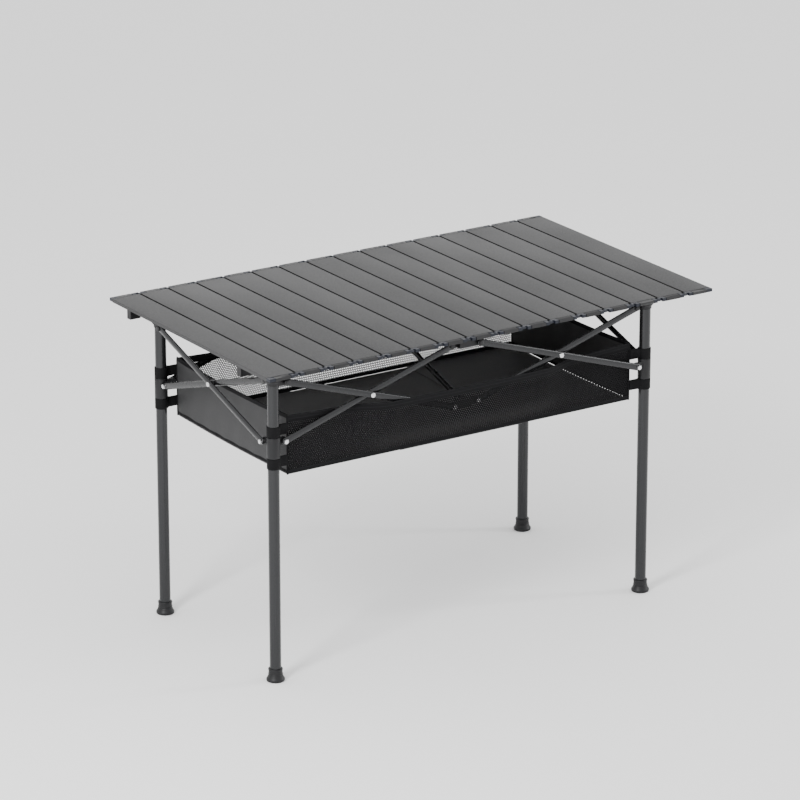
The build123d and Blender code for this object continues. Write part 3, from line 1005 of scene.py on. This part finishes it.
# ---- straps
class CAMPTABLE_OT_straps(bpy.types.Operator):
    """Makes the webbing loops that tie the basket's corners to the legs"""

    bl_idname = "camp_table.straps"
    bl_label = "Straps"

    def execute(self, context):
        thickness = context.scene.camp_table_frame.strap_thickness
        colour = context.scene.camp_table_basket.tape_colour
        finish = tape_finish("strap_webbing", colour, 0.0016, False)
        height = 0.024
        radius = TUBE_RADIUS + 0.0004 + thickness / 2
        # from the basket's corner to the leg, once round it in steps, and back beside itself
        first, last, steps = math.radians(28), math.radians(352), 40
        path = [(0.0386, 0.0038), (0.030, 0.0037), (0.0235, 0.0037), (0.0185, 0.0038)]
        for i in range(steps + 1):
            angle = first + (last - first) * i / steps
            path.append((radius * math.cos(angle), radius * math.sin(angle)))
        path += [(0.0175, 0.0004), (0.0220, 0.0016), (0.0290, 0.0019), (0.0386, 0.0019)]
        for corner, at in LEG_AT.items():
            to_x, to_y = inward(at)
            low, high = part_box("straps_" + corner)
            for where, level in (("lower", low.z + height / 2), ("upper", high.z - height / 2)):
                points = [Vector((at.x + to_x * x, at.y + to_y * y, level)) for x, y in path]
                normals = []
                for i in range(len(points)):
                    step = points[min(i + 1, len(points) - 1)] - points[max(i - 1, 0)]
                    normals.append(Vector((step.y, -step.x, 0)).normalized())
                section = rounded_section(thickness, height, 0.0004)
                strap = swept_band("strap_%s_%s" % (corner, where), points, normals, section)
                nodes = ["straps_" + corner] if where == "lower" else ()
                dress(strap, finish, "slider_" + corner, nodes)
        return {"FINISHED"}


# ---- the basket
def smoothstep(t):
    t = max(0.0, min(1.0, t))
    return t * t * (3 - 2 * t)


def panel_offset(x):
    """How far outside the leg line a long panel runs at x: inside the bars near the legs, outside the hubs."""
    near = min(x - LEFT, RIGHT - x)
    t = smoothstep((near - WEAVE_START) / (WEAVE_END - WEAVE_START))
    return -PANEL_IN + (PANEL_IN + PANEL_OUT) * t


def weave_offset(x, v):
    """How far outside the leg line a long panel lies at x and share v of its height, straight at the bottom."""
    return -PANEL_IN + (panel_offset(x) + PANEL_IN) * smoothstep(v / 0.5)


def panel_top(x):
    """Height of a long panel's top edge, a little lower between its corners."""
    s = abs(2 * (x - MIDDLE_X) / (BASKET_RIGHT - BASKET_LEFT))
    return BASKET_TOP - 0.001 + 0.009 * s**3


def floor_height(y):
    """Height of the basket's floor at y, hanging down a little between its long edges."""
    v = min(max((y - FRONT) / (BACK - FRONT), 0.0), 1.0)
    return BASKET_BOTTOM + 0.0024 - bpy.context.scene.camp_table_basket.floor_sag * math.sin(math.pi * v)


def long_panel_point(side, x, v):
    """A point of the front (-1) or back (1) panel at share v of its height, and its outward direction."""
    line = FRONT if side < 0 else BACK
    bottom = BASKET_BOTTOM + EDGE_LIFT
    z = bottom + v * (panel_top(x) - bottom)
    belly = 0.0008 * math.sin(math.pi * v) * (1 + math.sin(x * 31.0 + side))
    y = line + side * (weave_offset(x, v) + belly)
    step = 0.0005
    slope = (weave_offset(x + step, v) - weave_offset(x - step, v)) / (2 * step)
    normal = Vector((-slope, side, 0)).normalized()
    return Vector((x, y, z)), normal


END_STEPS = 72


def end_panel_point(side, y, v):
    """A point of the left (-1) or right (1) end panel."""
    line = BASKET_LEFT if side < 0 else BASKET_RIGHT
    bottom = floor_height(y) + 0.0034
    s = abs(2 * (y - MIDDLE_Y) / (BACK - FRONT))
    top = BASKET_END_TOP - 0.004 + 0.007 * s**2.5
    z = bottom + v * (top - bottom)
    belly = 0.0030 * math.sin(math.pi * v) * (1 - s**4)
    return Vector((line + side * belly, y, z)), Vector((side, 0, 0))


def sheet_piece(name, columns, rows, point_at, thickness, size):
    """A closed cloth of point_at(u, v), both from 0 to 1, with a UV map in metres."""
    shape = bmesh.new()
    uv = shape.loops.layers.uv.new("cloth")
    grid = [
        [shape.verts.new(point_at(i / columns, j / rows)) for j in range(rows + 1)] for i in range(columns + 1)
    ]
    for i in range(columns):
        for j in range(rows):
            face = shape.faces.new((grid[i][j], grid[i + 1][j], grid[i + 1][j + 1], grid[i][j + 1]))
            for loop, (a, b) in zip(face.loops, ((i, j), (i + 1, j), (i + 1, j + 1), (i, j + 1))):
                loop[uv].uv = (a / columns * size[0], b / rows * size[1])
    obj = from_shape(shape, name)
    take(obj)
    wall = obj.modifiers.new("cloth", "SOLIDIFY")
    wall.thickness = thickness
    wall.offset = 0.0
    bpy.ops.object.modifier_apply(modifier=wall.name)
    fix_normals(obj)
    smooth(obj, 50.0)
    return obj


def fix_normals(obj):
    start_edit(obj)
    bpy.ops.mesh.select_all(action="SELECT")
    bpy.ops.mesh.normals_make_consistent(inside=False)
    end_edit()


def open_mesh_piece(name, side, pitch, share, thickness):
    """The perforated long panel: six-sided holes in staggered rows through two layers, in mesh code.
    Each hole has its wall. The outer border has none: it is open, under the tape, the hem and the seams."""
    start_x, end_x = BASKET_LEFT, BASKET_RIGHT
    bottom = BASKET_BOTTOM + EDGE_LIFT
    height = panel_top(MIDDLE_X) - bottom
    columns = round((end_x - start_x) / pitch)
    step_x = (end_x - start_x) / columns
    rows = round(height / (pitch * math.sqrt(3) / 2))
    radius = pitch * share / math.sqrt(3)
    shape = bmesh.new()

    def column_x(i, j):
        return start_x + (i + 0.5 + (0.5 if j % 2 else 0.0)) * step_x

    def lay(x, v):
        x = min(max(x, start_x), end_x)
        v = min(max(v, 0.0), 1.0)
        point, normal = long_panel_point(side, x, v)
        return (
            shape.verts.new(point + normal * thickness / 2),
            shape.verts.new(point - normal * thickness / 2),
        )

    holes = {}
    for j in range(rows):
        count = columns - (1 if j % 2 else 0)
        for i in range(count):
            x, v = column_x(i, j), (j + 0.5) / rows
            ring = []
            for k in range(6):
                angle = math.pi / 6 + k * math.pi / 3
                across, up = radius * math.cos(angle), radius * math.sin(angle)
                ring.append(lay(x + across, v + up / height))
            holes[i, j] = ring

    def fill(corners):
        """One patch on both sides of the cloth."""
        outer, inner = [c[0] for c in corners], [c[1] for c in corners]
        shape.faces.new(outer)
        shape.faces.new(list(reversed(inner)))

    # a ring's corners stand at 30, 90, 150, 210, 270 and 330 degrees
    for (i, j), ring in holes.items():
        right = holes.get((i + 1, j))
        if right:
            fill([ring[5], right[3], right[2], ring[0]])
        shift = 1 if j % 2 else 0
        up_left, up_right = holes.get((i - 1 + shift, j + 1)), holes.get((i + shift, j + 1))
        if up_right:
            fill([ring[0], up_right[4], up_right[3], ring[1]])
        if up_left:
            fill([ring[1], up_left[5], up_left[4], ring[2]])
        if up_left and up_right:
            fill([ring[1], up_right[3], up_left[5]])
        if right and up_right:
            fill([ring[0], right[2], up_right[4]])
        for k in range(6):
            a, b = ring[k], ring[(k + 1) % 6]
            shape.faces.new((a[0], b[0], b[1], a[1]))
    bmesh.ops.recalc_face_normals(shape, faces=shape.faces)
    return from_shape(shape, name)


class CAMPTABLE_OT_basket_sides(bpy.types.Operator):
    """Makes the two long sides of open mesh with their binding tape and hem"""

    bl_idname = "camp_table.basket_sides"
    bl_label = "Basket sides"

    def execute(self, context):
        settings = context.scene.camp_table_basket
        finish = mesh_finish(settings.mesh_colour)
        tape = tape_finish("binding_tape", settings.tape_colour)
        length = BASKET_RIGHT - BASKET_LEFT
        for side, name, body in ((-1, "basket_front", "slider_fl"), (1, "basket_back", "slider_bl")):
            cloth = open_mesh_piece(
                "mesh_" + name[7:], side, settings.hole_pitch, settings.hole_share, settings.cloth_thickness,
            )
            places = [BASKET_LEFT + length * i / 180 for i in range(181)]
            top = band_on_panel(
                "top_tape_" + name[7:], side, places, 1.0, -settings.tape_height / 2 + 0.0012,
                rounded_section(0.0030, settings.tape_height, 0.0009),
            )
            hem = band_on_panel(
                "hem_" + name[7:], side, places, 0.0, 0.0035, rounded_section(0.0026, 0.009, 0.0008),
            )
            dress(cloth, finish, body, [name])
            dress(top, tape, body)
            dress(hem, tape, body)
            for piece in (cloth, top, hem):
                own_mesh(piece)
        return {"FINISHED"}


def band_on_panel(name, side, places, v, lift, section):
    """A band along a long panel at share v of its height, lifted by lift."""
    centres, normals = [], []
    for x in places:
        point, normal = long_panel_point(side, x, v)
        centres.append(point + Vector((0, 0, lift)))
        normals.append(normal)
    return swept_band(name, centres, normals, section)


class CAMPTABLE_OT_basket_ends(bpy.types.Operator):
    """Makes the two end panels of coated cloth with their binding and the corner seams"""

    bl_idname = "camp_table.basket_ends"
    bl_label = "Basket ends"

    def execute(self, context):
        settings = context.scene.camp_table_basket
        finish = cloth_finish("basket_cloth", settings.panel_colour)
        tape = bpy.data.materials.get("binding_tape") or tape_finish("binding_tape", settings.tape_colour)
        low_y, high_y = FRONT + PANEL_IN, BACK - PANEL_IN
        width = high_y - low_y
        for side, name, body in ((-1, "basket_left", "slider_fl"), (1, "basket_right", "slider_fr")):
            tall = BASKET_END_TOP - BASKET_BOTTOM - 0.003
            ripple = 0.0004 * side

            def point_at(u, v):
                point, _ = end_panel_point(side, low_y + u * width, v)
                return point + Vector((ripple * math.sin(u * 47 + v * 5), 0, 0))

            cloth = sheet_piece(
                "panel_" + name[7:], END_STEPS, 22, point_at, settings.cloth_thickness, (width, tall)
            )
            across = [low_y + width * i / END_STEPS for i in range(END_STEPS + 1)]
            normals = [end_panel_point(side, y, 1.0)[1] for y in across]
            top_line = [end_panel_point(side, y, 1.0)[0] + Vector((0, 0, -0.0040)) for y in across]
            top = swept_band("top_tape_" + name[7:], top_line, normals, rounded_section(0.0028, 0.010, 0.0009))
            hem_line = [end_panel_point(side, y, 0.0)[0] + Vector((0, 0, 0.003)) for y in across]
            hem = swept_band("hem_" + name[7:], hem_line, normals, rounded_section(0.0024, 0.007, 0.0008))
            dress(cloth, finish, body, [name])
            dress(top, tape, body)
            dress(hem, tape, body)
            for piece in (cloth, top, hem):
                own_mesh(piece)
        for corner, at in LEG_AT.items():
            to_x, to_y = inward(at)
            place = Vector((BASKET_LEFT if to_x > 0 else BASKET_RIGHT, at.y + to_y * (PANEL_IN + 0.0004), 0))
            seam = turned(
                "corner_seam_" + corner, 12,
                [(BASKET_BOTTOM + 0.001, 0.0014), (BASKET_BOTTOM + 0.002, 0.0021),
                 (BASKET_END_TOP - 0.002, 0.0021), (BASKET_END_TOP + 0.001, 0.0015)],
                place,
            )
            seam.data.uv_layers.new(name="cloth")
            smooth(seam, 40.0)
            dress(seam, tape, "slider_" + corner)
        return {"FINISHED"}


class CAMPTABLE_OT_basket_floor(bpy.types.Operator):
    """Makes the basket's floor in three joined lengths of coated cloth"""

    bl_idname = "camp_table.basket_floor"
    bl_label = "Basket floor"

    def execute(self, context):
        settings = context.scene.camp_table_basket
        # painted light: this colour is lighter than the end panels' cloth, to make up for the table top's shade
        # on the floor
        finish = cloth_finish("floor_cloth", settings.floor_colour)
        seams = (BASKET_LEFT, BASKET_LEFT + OUTER_FLOOR, BASKET_RIGHT - OUTER_FLOOR, BASKET_RIGHT)
        edge_gap = 0.0004
        for number, body in enumerate(("slider_fl", "hub_low_front", "slider_fr")):
            # lapped seams: the middle length lies under the other two, and each lies on its own level
            layer = (-0.0002, -0.0014, 0.0010)[number]
            start = seams[number] - (LAP if number == 1 else 0)
            length = seams[number + 1] + (LAP if number == 1 else 0) - start

            def point_at(u, v):
                x = start + u * length
                near = FRONT + PANEL_IN + edge_gap
                far = BACK - PANEL_IN - edge_gap
                y = near + v * (far - near)
                return Vector((x, y, floor_height(y) + layer))

            floor = sheet_piece(
                "floor_%d" % (number + 1), 44, 60, point_at, settings.cloth_thickness, (length, BACK - FRONT)
            )
            dress(floor, finish, body, ["basket_bottom"] if number == 0 else ())
            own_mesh(floor)
        return {"FINISHED"}


# ---- floor, light and camera
def area_light(name, place, aim, size, power):
    lamp = bpy.data.lights.new(name, "AREA")
    lamp.shape = "RECTANGLE"
    lamp.size, lamp.size_y = size
    lamp.energy = power
    obj = placed(name, lamp)
    obj.location = place
    obj.rotation_euler = (Vector(aim) - Vector(place)).to_track_quat("-Z", "Y").to_euler()


class CAMPTABLE_OT_stage(bpy.types.Operator):
    """Sets the pale floor, the soft studio light and the camera"""

    bl_idname = "camp_table.stage"
    bl_label = "Stage"

    def execute(self, context):
        settings = context.scene.camp_table_stage
        clear_selection()
        bpy.ops.mesh.primitive_plane_add(size=60, location=(0, 0, 0))
        floor = bpy.context.object
        floor.name = floor.data.name = "studio_floor"
        matt = Finish("studio_floor", settings.floor_colour, 0.9)
        matt.tint(matt.noise(matt.coordinates(), 2.0), 0.995, 1.005)
        floor.data.materials.append(matt.material)
        world = bpy.data.worlds.new("studio") if bpy.context.scene.world is None else bpy.context.scene.world
        bpy.context.scene.world = world
        world.use_nodes = True
        sky = next(n for n in world.node_tree.nodes if n.type == "BACKGROUND")
        sky.inputs["Color"].default_value = (1, 1, 1, 1)
        sky.inputs["Strength"].default_value = settings.sky_strength
        area_light("key", (-3.4, -1.6, 2.9), (0, 0, 0.5), (0.9, 2.6), 150)
        area_light("fill", (3.4, -1.6, 1.8), (0, 0, 0.5), (0.5, 2.4), 45)
        lens = bpy.data.cameras.new("camera")
        lens.lens = settings.lens
        lens.sensor_width = 36.0
        lens.clip_end = 100.0
        camera = placed("camera", lens)
        camera.location = CAMERA_AT
        camera.rotation_euler = CAMERA_TURN
        bpy.context.scene.camera = camera
        return {"FINISHED"}


# ---- the sidebar
STEPS = (
    CAMPTABLE_OT_slats, CAMPTABLE_OT_end_fittings, CAMPTABLE_OT_legs, CAMPTABLE_OT_feet, CAMPTABLE_OT_brackets,
    CAMPTABLE_OT_fittings, CAMPTABLE_OT_bars, CAMPTABLE_OT_rivets, CAMPTABLE_OT_straps,
    CAMPTABLE_OT_basket_sides, CAMPTABLE_OT_basket_ends, CAMPTABLE_OT_basket_floor, CAMPTABLE_OT_stage,
)


class CAMPTABLE_PT_panel(bpy.types.Panel):
    """Lists the table's settings and the pieces it is built from"""

    bl_label = "Camp Table"
    bl_idname = "CAMPTABLE_PT_panel"
    bl_space_type = "VIEW_3D"
    bl_region_type = "UI"
    bl_category = "Camp Table"

    def draw(self, context):
        for name, group in (
            ("Top", context.scene.camp_table_slats), ("Frame", context.scene.camp_table_frame),
            ("Basket", context.scene.camp_table_basket), ("Stage", context.scene.camp_table_stage),
        ):
            box = self.layout.box()
            box.label(text=name)
            for key in group.__annotations__:
                box.prop(group, key)
        for step in STEPS:
            self.layout.operator(step.bl_idname)


CLASSES = (SlatSettings, FrameSettings, BasketSettings, StageSettings, *STEPS, CAMPTABLE_PT_panel)
GROUPS = {
    "camp_table_slats": SlatSettings,
    "camp_table_frame": FrameSettings,
    "camp_table_basket": BasketSettings,
    "camp_table_stage": StageSettings,
}


def register():
    for item in CLASSES:
        bpy.utils.register_class(item)
    for name, group in GROUPS.items():
        setattr(bpy.types.Scene, name, bpy.props.PointerProperty(type=group))


def unregister():
    for name in GROUPS:
        delattr(bpy.types.Scene, name)
    for item in reversed(CLASSES):
        bpy.utils.unregister_class(item)


def main():
    register()
    for step in STEPS:
        category, name = step.bl_idname.split(".")
        getattr(getattr(bpy.ops, category), name)()


if __name__ == "__main__":
    main()
